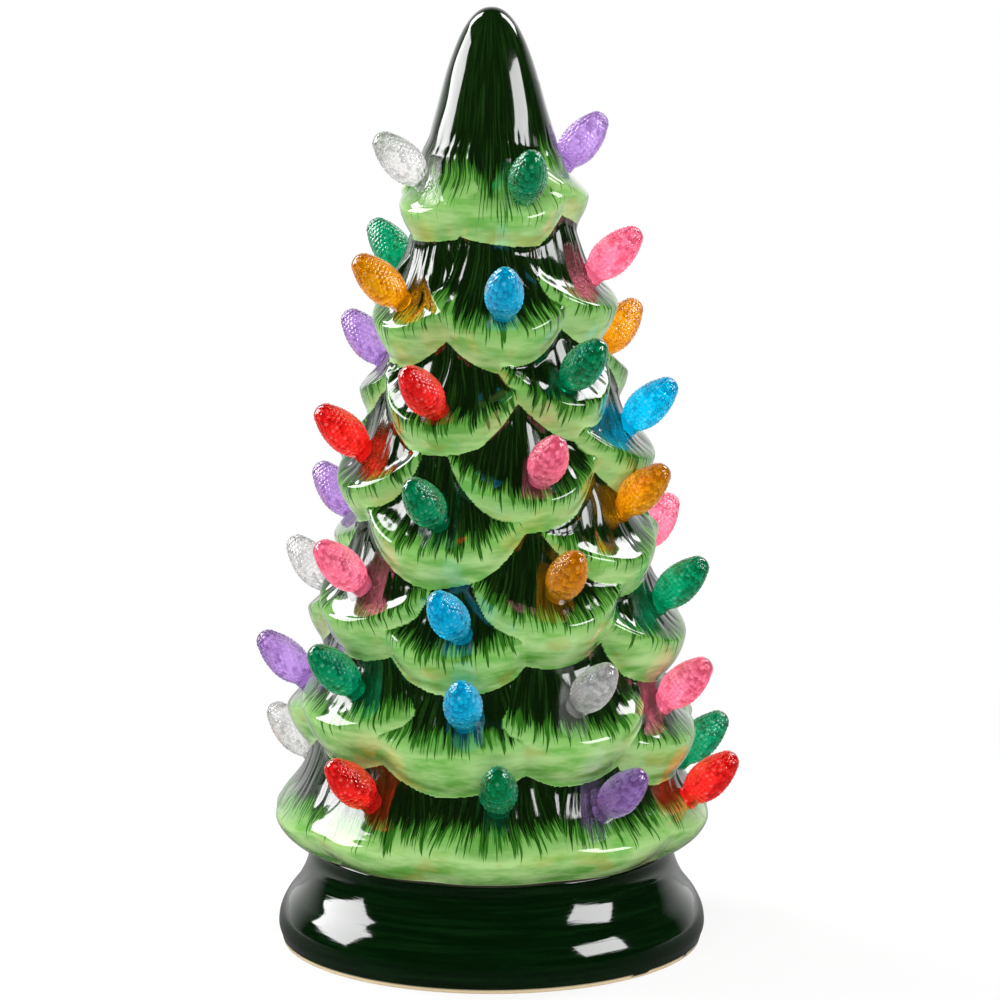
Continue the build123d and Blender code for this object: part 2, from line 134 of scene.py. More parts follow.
softboxes = {
    "leftWindow": {"azimuth": -101, "rise": 24, "away": 1.0, "width": 0.6, "height": 0.48, "watts": 7.0},
    "rightWindow": {"azimuth": 65, "rise": 23, "away": 1.0, "width": 0.48, "height": 0.36, "watts": 4.2},
    "backLeft": {"azimuth": -127, "rise": 46, "away": 1.0, "width": 0.24, "height": 0.5, "watts": 3.4},
    "backRight": {"azimuth": 124, "rise": 44, "away": 1.0, "width": 0.24, "height": 0.5, "watts": 3.0},
    "frontFill": {"azimuth": -14, "rise": 34, "away": 1.3, "width": 1.2, "height": 0.9, "watts": 9.0, "glint": False},
}
aimPoint = Vector((0, 0, 0.11))
for name, box in softboxes.items():
    lamp = bpy.data.lights.new(name, "AREA")
    lamp.shape = "RECTANGLE"
    lamp.size = box["width"]
    lamp.size_y = box["height"]
    lamp.energy = box["watts"]
    holder = bpy.data.objects.new(name, lamp)
    azimuth, rise = math.radians(box["azimuth"]), math.radians(box["rise"])
    aside = Vector((math.sin(azimuth) * math.cos(rise), -math.cos(azimuth) * math.cos(rise), math.sin(rise)))
    holder.location = aimPoint + aside * box["away"]
    holder.rotation_euler = aside.to_track_quat("Z", "Y").to_euler()
    holder.visible_glossy = box.get("glint", True)
    bpy.context.scene.collection.objects.link(holder)

studio = {
    "fill": 0.36, "white": 1.0, "darkFront": 0.01, "behind": (0.5, 0.97),
    "floorColour": (0.9, 0.9, 0.9, 1), "floorWhite": 0.8, "floorReach": 3500,
    "shadowReach": (0.09, 0.3), "sweepReach": (-0.08, 0.22), "mirroredFloor": (0.03, 0.5),
}
world = bpy.data.worlds.new("studio")
bpy.context.scene.world = world
world.use_nodes = True
nodes, links = world.node_tree.nodes, world.node_tree.links
nodes.clear()
path = nodes.new("ShaderNodeLightPath")
fill = nodes.new("ShaderNodeBackground")
fill.inputs["Color"].default_value = (1, 1, 1, 1)
fill.inputs["Strength"].default_value = studio["fill"]
white = nodes.new("ShaderNodeBackground")
white.inputs["Color"].default_value = (1, 1, 1, 1)
white.inputs["Strength"].default_value = studio["white"]
way = nodes.new("ShaderNodeTexCoord")
split = nodes.new("ShaderNodeSeparateXYZ")
links.new(way.outputs["Generated"], split.inputs[0])
behind = nodes.new("ShaderNodeMapRange")  # glaze sees the white sweep behind, and a dark room in front
behind.inputs["From Min"].default_value, behind.inputs["From Max"].default_value = studio["behind"]
behind.inputs["To Min"].default_value = studio["darkFront"]
behind.inputs["To Max"].default_value = studio["white"]
links.new(split.outputs["Y"], behind.inputs["Value"])
room = nodes.new("ShaderNodeBackground")
room.inputs["Color"].default_value = (1, 1, 1, 1)
links.new(behind.outputs["Result"], room.inputs["Strength"])
glossy = nodes.new("ShaderNodeMixShader")
links.new(path.outputs["Is Glossy Ray"], glossy.inputs["Fac"])
links.new(fill.outputs[0], glossy.inputs[1])
links.new(room.outputs[0], glossy.inputs[2])
seen = nodes.new("ShaderNodeMath")
seen.operation = "MAXIMUM"
links.new(path.outputs["Is Camera Ray"], seen.inputs[0])
links.new(path.outputs["Is Transmission Ray"], seen.inputs[1])
sky = nodes.new("ShaderNodeMixShader")
links.new(seen.outputs[0], sky.inputs["Fac"])
links.new(glossy.outputs[0], sky.inputs[1])
links.new(white.outputs[0], sky.inputs[2])
worldOut = nodes.new("ShaderNodeOutputWorld")
links.new(sky.outputs[0], worldOut.inputs["Surface"])


def makeFloor():
    reach = studio["floorReach"]
    floor = makePiece("floor", [(-reach, -reach, 0), (reach, -reach, 0), (reach, reach, 0), (-reach, reach, 0)],
                      [[(0, 1, 2, 3)]], False)
    paper = bpy.data.materials.new("floorPaper")
    paper.use_nodes = True
    nodes, links = paper.node_tree.nodes, paper.node_tree.links
    nodes.clear()
    matt = nodes.new("ShaderNodeBsdfDiffuse")
    matt.inputs["Color"].default_value = studio["floorColour"]
    glow = nodes.new("ShaderNodeEmission")
    path = nodes.new("ShaderNodeLightPath")
    place = nodes.new("ShaderNodeTexCoord")
    away = nodes.new("ShaderNodeVectorMath")
    away.operation = "LENGTH"
    links.new(place.outputs["Object"], away.inputs[0])
    axes = nodes.new("ShaderNodeSeparateXYZ")
    links.new(place.outputs["Object"], axes.inputs[0])

    def spread(value, reach, low, high=1.0):
        node = nodes.new("ShaderNodeMapRange")
        node.interpolation_type = "SMOOTHSTEP"
        node.inputs["From Min"].default_value, node.inputs["From Max"].default_value = reach
        node.inputs["To Min"].default_value, node.inputs["To Max"].default_value = low, high
        links.new(value, node.inputs["Value"])
        return node.outputs["Result"]

    def both(a, b, operation):
        node = nodes.new("ShaderNodeMath")
        node.operation = operation
        links.new(a, node.inputs[0])
        links.new(b, node.inputs[1])
        return node.outputs[0]

    seen = both(path.outputs["Is Camera Ray"], path.outputs["Is Transmission Ray"], "MAXIMUM")
    plain = both(seen, spread(away.outputs["Value"], studio["shadowReach"], studio["floorWhite"]), "MULTIPLY")
    share = both(plain, path.outputs["Is Glossy Ray"], "MAXIMUM")
    sweep = spread(axes.outputs["Y"], studio["sweepReach"], *studio["mirroredFloor"])
    mirrored = both(path.outputs["Is Glossy Ray"], sweep, "MULTIPLY")
    links.new(both(seen, mirrored, "MAXIMUM"), glow.inputs["Strength"])
    mix = nodes.new("ShaderNodeMixShader")
    links.new(share, mix.inputs["Fac"])
    links.new(matt.outputs[0], mix.inputs[1])
    links.new(glow.outputs[0], mix.inputs[2])
    out = nodes.new("ShaderNodeOutputMaterial")
    links.new(mix.outputs[0], out.inputs["Surface"])
    floor.data.materials.append(paper)


makeFloor()
print("studio lit")

# tree: the cast shape, in millimetres, with the same numbers as the solid

tree = {
    "height": 229.0, "seat": 25.0, "skirtReach": 53.3, "wall": 4.6,
    "creaseDepth": 6.5, "lipRise": 8.5, "flareDepth": 5.5, "flareLength": 3.4, "hemRoll": 11.0,
    "lipRound": 3.0, "creaseRound": 2.4, "slope": 0.3,
    "coneHeight": 40.0, "coneRadius": 16.8, "coneRound": 0.45, "coneEnd": 1.5, "coreRound": 1.5,
    "boughHeight": 26.0,
    "columns": 640, "rows": 860, "innerRows": 24, "outlineSteps": 760,
    "tipReach": 3, "tipSteps": 50, "tipGap": 0.012, "topGap": 0.02,  # the last millimetres, just under the solid
    "combedEnd": (0.84, 0.89), "smoothTip": (215, 225), "clayEdge": 0.12,
    "grooveDepth": 0.34, "grooveWidth": 2.1, "grooveRun": 18.0, "lumpDepth": 0.3, "lumpSize": 9.0,
    "core": ((0.105, 0.848), (0.144, 0.867), (0.201, 0.826), (0.288, 0.762), (0.393, 0.668),
             (0.485, 0.574), (0.568, 0.492), (0.646, 0.417), (0.725, 0.326), (0.873, 0.317)),
}
# each tier: crease, rise, flare and roll shares, where its dark strokes end above the lip and how
# long they run, then its boughs: azimuth, half width, lip height share, reach share
tiers = (
    (0.37, 0.42, 1.3, 1.0, 7.2, 1.9, (
        (14, 42, 0.795, 0.424), (92, 38, 0.808, 0.428), (164, 38, 0.803, 0.424),
        (-128, 38, 0.803, 0.424), (-58, 40, 0.797, 0.424))),
    (0.65, 0.59, 1.0, 1.0, 1.4, 1.2, (
        (6, 34, 0.681, 0.574), (72, 35, 0.694, 0.574), (136, 32, 0.690, 0.570),
        (190, 32, 0.686, 0.570), (-119, 33, 0.694, 0.563), (-56, 34, 0.679, 0.570))),
    (0.92, 0.94, 1.0, 1.0, -0.2, 1.0, (
        (-24, 36, 0.585, 0.649), (41, 33, 0.603, 0.638), (104, 33, 0.616, 0.623),
        (164, 32, 0.607, 0.638), (-144, 32, 0.611, 0.619), (-88, 31, 0.603, 0.591))),
    (1.0, 1.0, 1.0, 1.0, 0.6, 1.0, (
        (16, 32, 0.511, 0.739), (76, 33, 0.535, 0.743), (142, 33, 0.528, 0.735),
        (-164, 31, 0.524, 0.732), (-112, 29, 0.528, 0.717), (-62, 30, 0.511, 0.735))),
    (1.0, 0.94, 1.0, 1.0, 1.6, 1.0, (
        (-20, 33, 0.459, 0.807), (54, 35, 0.439, 0.807), (114, 31, 0.441, 0.799),
        (168, 30, 0.450, 0.799), (-138, 30, 0.445, 0.773), (-84, 32, 0.448, 0.709))),
    (0.85, 0.71, 1.0, 1.0, 1.2, 1.0, (
        (-50, 25, 0.380, 0.882), (-12, 25, 0.354, 0.901), (22, 24, 0.386, 0.889),
        (70, 26, 0.347, 0.906), (112, 24, 0.358, 0.896), (150, 23, 0.371, 0.893),
        (-170, 23, 0.363, 0.893), (-138, 23, 0.358, 0.882), (-102, 24, 0.360, 0.848))),
    (0.62, 0.40, 1.35, 1.0, 2.6, 1.0, (
        (-12, 24, 0.255, 0.957), (27, 22, 0.264, 0.949), (68, 24, 0.240, 0.957),
        (108, 22, 0.245, 0.949), (145, 22, 0.253, 0.949), (-176, 22, 0.249, 0.949),
        (-136, 22, 0.253, 0.938), (-96, 22, 0.257, 0.938), (-52, 25, 0.271, 0.946))),
    (0.25, 0.14, 1.45, 0.5, 4.8, 1.1, (
        (2, 21, 0.148, 1.0), (37, 20, 0.148, 1.0), (76, 21, 0.146, 1.0),
        (110, 20, 0.148, 1.0), (146, 20, 0.148, 1.0), (-178, 20, 0.148, 1.0),
        (-142, 20, 0.148, 1.0), (-108, 19, 0.148, 1.0), (-72, 19, 0.146, 1.0),
        (-36, 20, 0.148, 1.0))),
)


def coreRadius(z):
    heights = [share * tree["height"] for share, reach in tree["core"]]
    reaches = [reach * tree["skirtReach"] for share, reach in tree["core"]]
    trunk = np.interp(z, heights, reaches)
    belowTip = np.maximum(tree["height"] - z, 0) / tree["coneHeight"]
    cone = softMin(tree["coneRadius"] * belowTip ** tree["coneRound"], trunk, tree["coreRound"])
    return np.where(belowTip > tree["coneEnd"], trunk, cone)


def treeSkin(azimuth, z):
    # radius of the skin, and for each point its place on the bough that carries it
    radius = coreRadius(z)
    best = np.full(np.shape(radius), -1e9)
    lip, across, seed = (np.zeros(np.shape(radius)) for _ in range(3))
    number = 0
    for crease, rise, flare, roll, brushStart, brushRun, boughs in tiers:
        for middle, halfWidth, lipShare, reach in boughs:
            aside = (azimuth - middle + 180) % 360 - 180
            spread = np.minimum((aside / halfWidth) ** 2, 3)
            lipZ = lipShare * tree["height"] + rise * tree["lipRise"] * spread
            lipRadius = reach * tree["skirtReach"] - crease * tree["creaseDepth"] * spread
            above, below = np.maximum(z - lipZ, 0), np.minimum(z - lipZ, 0)
            length = flare * tree["flareLength"]
            upper = lipRadius - tree["flareDepth"] * (1 - np.exp(-above / length)) - tree["slope"] * above
            upper = upper - (tree["flareDepth"] / length + tree["slope"]) * below
            upper = upper - np.maximum(above - tree["boughHeight"], 0)
            lower = lipRadius - below**2 / (2 * roll * tree["hemRoll"])
            bough = softMin(upper, lower, tree["lipRound"]) + tree["lipRound"] / 4
            claim = bough - 3 * np.maximum(spread - 1, 0)
            if number > 4:  # the cone belongs to the top tier
                claim = claim - 0.4 * np.maximum(above - 20, 0)
            wins = claim > best
            fan = 1 + 0.02 * np.clip(14 - (z - lipZ), 0, 26)
            lip = np.where(wins, (z - lipZ - brushStart) / brushRun, lip)
            if number < 5:  # one run of strokes all round the top tier
                across = np.radians(azimuth) * reach * tree["skirtReach"] + 0 * z
            else:
                across = np.where(wins, np.radians(aside) * reach * tree["skirtReach"] / fan, across)
                seed = np.where(wins, number * 3.7, seed)
            best = np.maximum(best, claim)
            radius = softMax(radius, bough, tree["creaseRound"])
            number += 1
    return radius, lip, across, seed


def around(azimuth, radius, z):
    angle = np.radians(azimuth)
    return np.stack([radius * np.sin(angle), -radius * np.cos(angle), z + 0 * angle], -1)


def makeTree():
    columns, rows = tree["columns"], tree["rows"]
    # rows at even steps along the outline of each column, so that the folds get their share
    low = np.linspace(tree["seat"], tree["height"] - tree["tipReach"], tree["outlineSteps"], endpoint=False)
    closing = (1 - np.sin(np.linspace(0, math.pi / 2, tree["tipSteps"]))) ** 2
    tip = tree["height"] - tree["tipReach"] * closing - tree["tipGap"]
    turn = np.linspace(-180, 180, columns, endpoint=False)
    heights, azimuth = np.meshgrid(np.concatenate([low, tip]), turn, indexing="ij")
    radius = treeSkin(azimuth, heights)[0]
    steps = np.hypot(np.diff(heights, axis=0), np.diff(radius, axis=0))
    along = np.concatenate([np.zeros((1, columns)), np.cumsum(steps, axis=0)])
    share = np.linspace(0, 1, rows)
    z = np.stack([np.interp(share * along[-1, i], along[:, i], heights[:, i]) for i in range(columns)], -1)
    azimuth = np.repeat(azimuth[:1], rows, axis=0)
    radius, lip, across, seed = treeSkin(azimuth, z)
    skin = around(azimuth, radius, z)
    sideways = np.roll(skin, -1, 1) - np.roll(skin, 1, 1)
    upward = np.gradient(skin, axis=0)
    normal = np.cross(sideways, upward)
    normal /= np.linalg.norm(normal, axis=-1, keepdims=True) + 1e-9
    # needle grooves on the slopes, soft lumps of the hand-pressed clay on the hems
    sway = cloud(across / 6, z / 7, seed + 2) - 0.5
    needle = cloud((across + 1.6 * sway) / tree["grooveWidth"], z / tree["grooveRun"], seed)
    needle = 0.65 * needle + 0.35 * cloud((across + 2.2 * sway) / (0.55 * tree["grooveWidth"]), z / 9, seed + 5)
    combed = ramp(lip, -1.5, 2.5) * (1 - ramp(z / tree["height"], *tree["combedEnd"]))
    lump = cloud(across / tree["lumpSize"], z / tree["lumpSize"], seed + 9)
    depth = tree["grooveDepth"] * combed * ramp(needle, 0.25, 0.85)
    depth = depth + tree["lumpDepth"] * (1 - combed) * lump * (1 - ramp(z, *tree["smoothTip"]))
    skin = skin - normal * depth[..., None]
    inner = np.linspace(tree["seat"], tree["height"] - tree["coneHeight"] / 2, tree["innerRows"])
    innerZ, innerAzimuth = np.meshgrid(inner, azimuth[0], indexing="ij")
    hollow = around(innerAzimuth, coreRadius(innerZ) - tree["wall"], innerZ)
    points = np.concatenate([skin.reshape(-1, 3), hollow.reshape(-1, 3),
                             [(0, 0, tree["height"] - tree["topGap"]), (0, 0, inner[-1])]])
    firstInner = rows * columns
    lastInner = firstInner + (len(inner) - 1) * columns
    faces = [ringFaces(rows, columns), ringFaces(len(inner), columns, firstInner)[:, ::-1]]
    here = np.arange(columns)
    beside = (here + 1) % columns
    faces.append(np.stack([firstInner + here, firstInner + beside, beside, here], -1))
    faces.append(fanFaces((rows - 1) * columns, columns, len(points) - 2))
    faces.append(fanFaces(lastInner, columns, len(points) - 1, False))
    piece = makePiece("tree", points, faces)
    rest = len(points) - firstInner
    paintValues(piece, "lipHeight", np.concatenate([lip.ravel(), np.full(rest, 10.0)]))
    paintValues(piece, "bareClay", np.concatenate([(z.ravel() < tree["seat"] + tree["clayEdge"]) * 1.0, np.ones(rest)]))
    stroke = np.stack([(across + 1.4 * sway).ravel(), z.ravel(), seed.ravel()], -1)
    paintValues(piece, "combed", np.concatenate([combed.ravel(), np.zeros(rest)]))
    paintVectors(piece, "strokePlace", np.concatenate([stroke, np.zeros((rest, 3))]))
    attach(piece, "tree")
    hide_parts("tree_shell")
    return piece


treePiece = makeTree()
print("tree cast with", len(treePiece.data.vertices), "points")

# glaze: dark strokes brushed down over a pale hem, under one glossy clear coat


class Brew:
    # a short hand for wiring one material
    def __init__(self, name):
        self.material = bpy.data.materials.new(name)
        self.material.use_nodes = True
        self.nodes = self.material.node_tree.nodes
        self.links = self.material.node_tree.links
        self.shader = self.nodes["Principled BSDF"]

    def put(self, kind, **settings):
        node = self.nodes.new(kind)
        for key, value in settings.items():
            setattr(node, key, value)
        return node

    def feed(self, target, value):
        if hasattr(value, "is_output"):
            self.links.new(value, target)
        else:
            target.default_value = value

    def painted(self, name, what="Fac"):
        return self.put("ShaderNodeAttribute", attribute_name=name).outputs[what]

    def sum(self, a, b, operation="ADD"):
        node = self.put("ShaderNodeMath", operation=operation)
        self.feed(node.inputs[0], a)
        self.feed(node.inputs[1], b)
        return node.outputs[0]

    def stretch(self, vector, scale):
        node = self.put("ShaderNodeMapping")
        self.feed(node.inputs["Vector"], vector)
        node.inputs["Scale"].default_value = scale
        return node.outputs[0]

    def grain(self, vector, scale, detail=2.0, rough=0.5):
        node = self.put("ShaderNodeTexNoise")
        self.feed(node.inputs["Vector"], vector)
        node.inputs["Scale"].default_value = scale
        node.inputs["Detail"].default_value = detail
        node.inputs["Roughness"].default_value = rough
        return node.outputs["Fac"]

    def fade(self, value, low, high, start=0.0, end=1.0):
        node = self.put("ShaderNodeMapRange", interpolation_type="SMOOTHSTEP")
        self.feed(node.inputs["Value"], value)
        self.feed(node.inputs["From Min"], low)
        self.feed(node.inputs["From Max"], high)
        node.inputs["To Min"].default_value = start
        node.inputs["To Max"].default_value = end
        return node.outputs["Result"]

    def blend(self, share, a, b):
        node = self.put("ShaderNodeMix", data_type="RGBA")
        self.feed(node.inputs["Factor"], share)
        self.feed(node.inputs["A"], a)
        self.feed(node.inputs["B"], b)
        return node.outputs["Result"]

    def bump(self, height, strength, distance):
        node = self.put("ShaderNodeBump")
        node.inputs["Strength"].default_value = strength
        node.inputs["Distance"].default_value = distance
        self.feed(node.inputs["Height"], height)
        self.links.new(node.outputs["Normal"], self.shader.inputs["Normal"])

    def set(self, **values):
        for key, value in values.items():
            self.feed(self.shader.inputs[key.replace("_", " ")], value)


def tint(red, green, blue):
    # a screen colour from 0 to 255, as the shader wants it
    def straight(c):
        c = c / 255
        return c / 12.92 if c <= 0.04045 else ((c + 0.055) / 1.055) ** 2.4
    return (straight(red), straight(green), straight(blue), 1)


glaze = {
    "dark": tint(7, 25, 3), "darkStreak": tint(27, 58, 17), "stroke": tint(44, 100, 24),
    "leaf": tint(74, 142, 44), "mid": tint(108, 170, 76), "pale": tint(176, 212, 140),
    "olive": tint(160, 154, 62), "clay": tint(228, 214, 184),
}


def treeGlaze():
    brew = Brew("treeGlaze")
    lip = brew.painted("lipHeight")
    place = brew.painted("strokePlace", "Vector")
    # each noise is drawn out down the bough, so that its peaks end in hairs, wisps and whole locks
    hairNoise = brew.grain(brew.stretch(place, (3.5, 0.1, 1)), 1.0, 2, 0.55)
    wispNoise = brew.grain(brew.stretch(place, (1.9, 0.07, 1.7)), 1.0, 2, 0.55)
    lockNoise = brew.grain(brew.stretch(place, (0.6, 0.05, 1.3)), 1.0, 2, 0.55)
    hairs = brew.fade(hairNoise, 0.38, 0.76, 0, 4.6)
    wisps = brew.fade(wispNoise, 0.36, 0.74, 0, 6.4)
    locks = brew.fade(lockNoise, 0.3, 0.7, -1.3, 1.5)
    space = brew.put("ShaderNodeTexCoord").outputs["Object"]
    soft = brew.grain(brew.stretch(space, (70, 70, 250)), 1.0, 3, 0.6)
    pool = brew.grain(brew.stretch(space, (90, 90, 110)), 1.0, 2, 0.5)
    # pale hem, greener near the strokes, and darker leaf green painted into the fold below as painted shade of the
    # crease
    hem = brew.blend(brew.fade(soft, 0.3, 0.7), glaze["mid"], glaze["pale"])
    sag = brew.sum(lip, brew.fade(soft, 0.25, 0.75, -3.0, 3.0))
    hem = brew.blend(brew.fade(sag, -5.0, 0.0, 0, 0.85), hem, glaze["leaf"])
    # painted shade: the lower hem turns to darker leaf green where it folds under into the crease
    hem = brew.blend(brew.fade(sag, -9.0, -16.0, 0, 0.7), hem, glaze["leaf"])
    stain = brew.sum(brew.fade(pool, 0.54, 0.66), brew.fade(lip, -3.0, -8.0), "MULTIPLY")
    hem = brew.blend(brew.sum(stain, 0.5, "MULTIPLY"), hem, glaze["olive"])
    # strokes over it, first mid green, then nearly black
    stroke = brew.fade(brew.sum(brew.sum(lip, wisps), locks), 0.0, 1.6)
    coat = brew.blend(stroke, hem, glaze["stroke"])
    night = brew.blend(brew.fade(wispNoise, 0.48, 0.7), glaze["dark"], glaze["darkStreak"])
    dark = brew.fade(brew.sum(brew.sum(lip, hairs), locks), 0.9, 2.3)
    coat = brew.blend(dark, coat, night)
    bareClay = brew.painted("bareClay")
    coat = brew.blend(bareClay, coat, glaze["clay"])
    brew.set(Base_Color=coat, Roughness=brew.fade(bareClay, 0, 1, 0.09, 0.75))
    brew.set(Coat_Weight=0.9, Coat_Roughness=0.025, Coat_IOR=1.5)
    combed = brew.painted("combed")
    brew.bump(brew.sum(brew.sum(hairNoise, combed, "MULTIPLY"), brew.sum(soft, 0.5, "MULTIPLY")), 0.12, 0.0004)
    return brew.material


treePiece.data.materials.append(treeGlaze())
print("tree glazed")

# bulbs: pebbled eggs of tinted plastic, each on a collar with its stem in the bough

bulbs = {
    "radius": 4.74, "length": 16.98, "belly": 7.48, "shoulder": 14.62, "shoulderRadius": 2.99,
    "collarRadius": 2.99, "collarHeight": 2.0, "stemRadius": 2.45, "stemLength": 9.0,
    "sink": 0.9, "rise": 44, "columns": 120, "rows": 84, "outlineSteps": 400,
    "pebble": 1.25, "pebbleHeight": 0.42, "pebbleReach": 0.6, "rowPitch": 0.87,
}
bulbPlaces = {
    "red": (
        (172, 0, 0.821), (150, 2, 0.710), (-24, -15, 0.595), (-67, -6, 0.540), (-146, 3, 0.462),
        (-170, 0, 0.386), (142, 0, 0.279), (-38, -18, 0.188), (74, 7, 0.167)),
    "green": (
        (24, -15, 0.811), (-126, -3, 0.715), (37, 6, 0.619), (-166, 4, 0.546), (-20, -13, 0.484),
        (73, 2, 0.377), (-47, -13, 0.302), (2, -2, 0.194), (95, 0, 0.190)),
    "blue": (
        (6, -4, 0.696), (164, 0, 0.629), (76, 3, 0.564), (168, 3, 0.470), (-10, -19, 0.373),
        (-8, 4, 0.283), (146, 0, 0.190)),
    "amber": (
        (-57, -11, 0.699), (120, 6, 0.628), (62, 2, 0.481), (22, 1, 0.412), (-146, 0, 0.382),
        (-176, 0, 0.280), (-144, 0, 0.190)),
    "pink": (
        (77, 1, 0.722), (-146, 0, 0.629), (19, 1, 0.527), (117, 14, 0.412), (-49, -14, 0.409),
        (67, 5, 0.274), (-178, 4, 0.190)),
    "purple": (
        (112, 8, 0.833), (-116, -2, 0.619), (-112, -12, 0.452), (150, -3, 0.392), (-95, 0, 0.279),
        (34, 20, 0.181)),
    "clear": (
        (-67, -2, 0.822), (-170, -3, 0.707), (148, 0, 0.550), (-114, -4, 0.368), (27, 16, 0.294),
        (-138, 2, 0.279), (-110, 0, 0.185)),
}
bulbTints = {
    "red": tint(255, 44, 40), "green": tint(0, 166, 114), "blue": tint(0, 200, 244),
    "amber": tint(255, 172, 14), "pink": tint(255, 132, 164), "purple": tint(214, 168, 250),
    "clear": tint(250, 248, 248),
}
# painted glow of each colour: emission strength that brightens the bulbs, not light from any lamp
bulbPaintedGlow = {"red": 0.16, "green": 0.14, "blue": 0.2, "amber": 0.11, "pink": 0.28, "purple": 0.02, "clear": 0.04}


def eggRadius(height):
    # three tangent arcs: collar to belly, belly to shoulder, shoulder to tip
    belly, shoulder, top = bulbs["belly"], bulbs["shoulder"], bulbs["length"]

    def arc(end, radius):
        fall = bulbs["radius"] - radius
        return (fall**2 + (end - belly) ** 2) / (2 * fall)
    low = arc(bulbs["collarHeight"], bulbs["collarRadius"])
    high = arc(shoulder, bulbs["shoulderRadius"])
    drop = top - shoulder
    crown = (bulbs["shoulderRadius"] ** 2 + drop**2) / (2 * drop)
    under = bulbs["radius"] - low + np.sqrt(np.maximum(low**2 - (height - belly) ** 2, 0))
    over = bulbs["radius"] - high + np.sqrt(np.maximum(high**2 - (height - belly) ** 2, 0))
    cap = np.sqrt(np.maximum(crown**2 - (height - top + crown) ** 2, 0))
    return np.where(height < belly, under, np.where(height < shoulder, over, cap))


def eggMesh():
    columns = bulbs["columns"]
    # even steps along the outline, closer together at the tip
    rise = np.sin(np.linspace(0, math.pi / 2, bulbs["outlineSteps"]))
    sample = bulbs["collarHeight"] + (bulbs["length"] - bulbs["collarHeight"]) * rise
    radii = eggRadius(sample)
    along = np.concatenate([[0], np.cumsum(np.hypot(np.diff(sample), np.diff(radii)))])
    steps = np.linspace(0, along[-1], bulbs["rows"])
    height, radius = np.interp(steps, along, sample), np.interp(steps, along, radii)
    turn = np.linspace(0, 2 * math.pi, columns, endpoint=False)
    dome, mottle = np.zeros((len(steps), columns)), np.full((len(steps), columns), 0.6)
    pitch, rowPitch = bulbs["pebble"], bulbs["pebble"] * bulbs["rowPitch"]
    for index in range(1, int(along[-1] / rowPitch)):
        middle = index * rowPitch
        ringRadius = np.interp(middle, along, radii)
        count = max(int(round(2 * math.pi * ringRadius / pitch)), 3)
        gap = 2 * math.pi / count
        slide = turn - gap * 0.5 * (index % 2) + gap / 2
        offset = slide % gap - gap / 2
        away = np.hypot((steps - middle)[:, None], offset[None, :] * radius[:, None])
        away = away / (bulbs["pebbleReach"] * pitch)
        bead = np.maximum(1 - away**2, 0) ** 0.7
        mottle = np.where(bead > dome, speckle(np.floor(slide / gap) % count, index, 3)[None, :], mottle)
        dome = np.maximum(dome, bead)
    smooth = ramp(steps, 0.4, 1.4) * (1 - ramp(steps, along[-1] - 2.4, along[-1] - 0.8))
    radius = np.maximum(radius[:, None] - bulbs["pebbleHeight"] * (1 - dome) * smooth[:, None], 0)
    rings = [np.stack([np.cos(turn) * radius[i], np.sin(turn) * radius[i], np.full(columns, height[i])], -1)
             for i in range(len(steps) - 1)]
    foot = ((bulbs["stemRadius"], -bulbs["stemLength"]), (bulbs["stemRadius"], 0), (bulbs["collarRadius"], 0))
    rings = [np.stack([np.cos(turn) * r, np.sin(turn) * r, np.full(columns, h)], -1) for r, h in foot] + rings
    points = np.concatenate(rings + [np.array([(0, 0, bulbs["length"]), (0, 0, -bulbs["stemLength"])])])
    last = (len(rings) - 1) * columns
    faces = [ringFaces(len(rings), columns), fanFaces(last, columns, len(points) - 2),
             fanFaces(0, columns, len(points) - 1, False)]
    # each bead gets its own level of painted light: darker in the grooves between beads as painted shade, lighter on
    # the bead tops as painted highlight
    shades = np.concatenate([np.full(3 * columns, 0.3), (mottle * (0.15 + 0.85 * dome))[:-1].ravel(), [0.6, 0.3]])
    return points, faces, shades


def bulbPlastic(colour):
    brew = Brew(colour + "Plastic")
    place = brew.put("ShaderNodeTexCoord").outputs["Object"]
    bead = brew.painted("beadShade")
    plain = bulbTints[colour]
    # a darker copy of the tint is painted shade in the grooves, a whitened copy is painted highlight on the bead tops
    grooveShadeColour = tuple(0.58 * c**1.3 for c in plain[:3]) + (1,)
    beadHighlightColour = tuple(0.7 * c + 0.3 for c in plain[:3]) + (1,)
    body = brew.blend(brew.fade(bead, 0.02, 0.45), grooveShadeColour, plain)
    body = brew.blend(brew.fade(bead, 0.66, 0.92, 0, 0.7), body, beadHighlightColour)
    brew.set(Base_Color=body, Roughness=0.04, IOR=1.46, Transmission_Weight=0.84)
    brew.set(Coat_Weight=1.0, Coat_Roughness=0.02, Coat_IOR=1.6)  # a glint on every bead
    brew.set(Emission_Color=body, Emission_Strength=bulbPaintedGlow[colour])  # painted glow: the plastic emits its own colour to brighten it, though no lamp in the scene lights it
    brew.bump(brew.grain(place, 900, 1), 0.06, 0.0002)
    return brew.material


def makeBulbs():
    eggPoints, eggFaces, eggShades = eggMesh()
    rise = math.radians(bulbs["rise"])
    for colour, places in bulbPlaces.items():
        points, faces = [], [[] for _ in eggFaces]
        for azimuth, lean, share in places:
            z = np.array(share * tree["height"])
            radius = treeSkin(np.array(float(azimuth)), z)[0]
            seat = Vector(around(np.array(float(azimuth)), radius, z))
            axis = Vector(around(np.array(float(azimuth + lean)), math.cos(rise), math.sin(rise)))
            turn = axis.to_track_quat("Z", "Y").to_matrix()
            first = len(points) * len(eggPoints)
            points.append(eggPoints @ np.array(turn).T + np.array(seat - axis * bulbs["sink"]))
            for group, corners in zip(faces, eggFaces):
                group.append(corners + first)
        piece = makePiece(colour + "Bulbs", np.concatenate(points), [np.concatenate(group) for group in faces])
        paintValues(piece, "beadShade", np.tile(eggShades, len(places)))
        piece.data.materials.append(bulbPlastic(colour))
        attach(piece, "tree")
        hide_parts(colour + "_bulbs")


makeBulbs()
print("bulbs plugged in")

# base: flared ring under a dark glaze that stops short of the bare clay foot

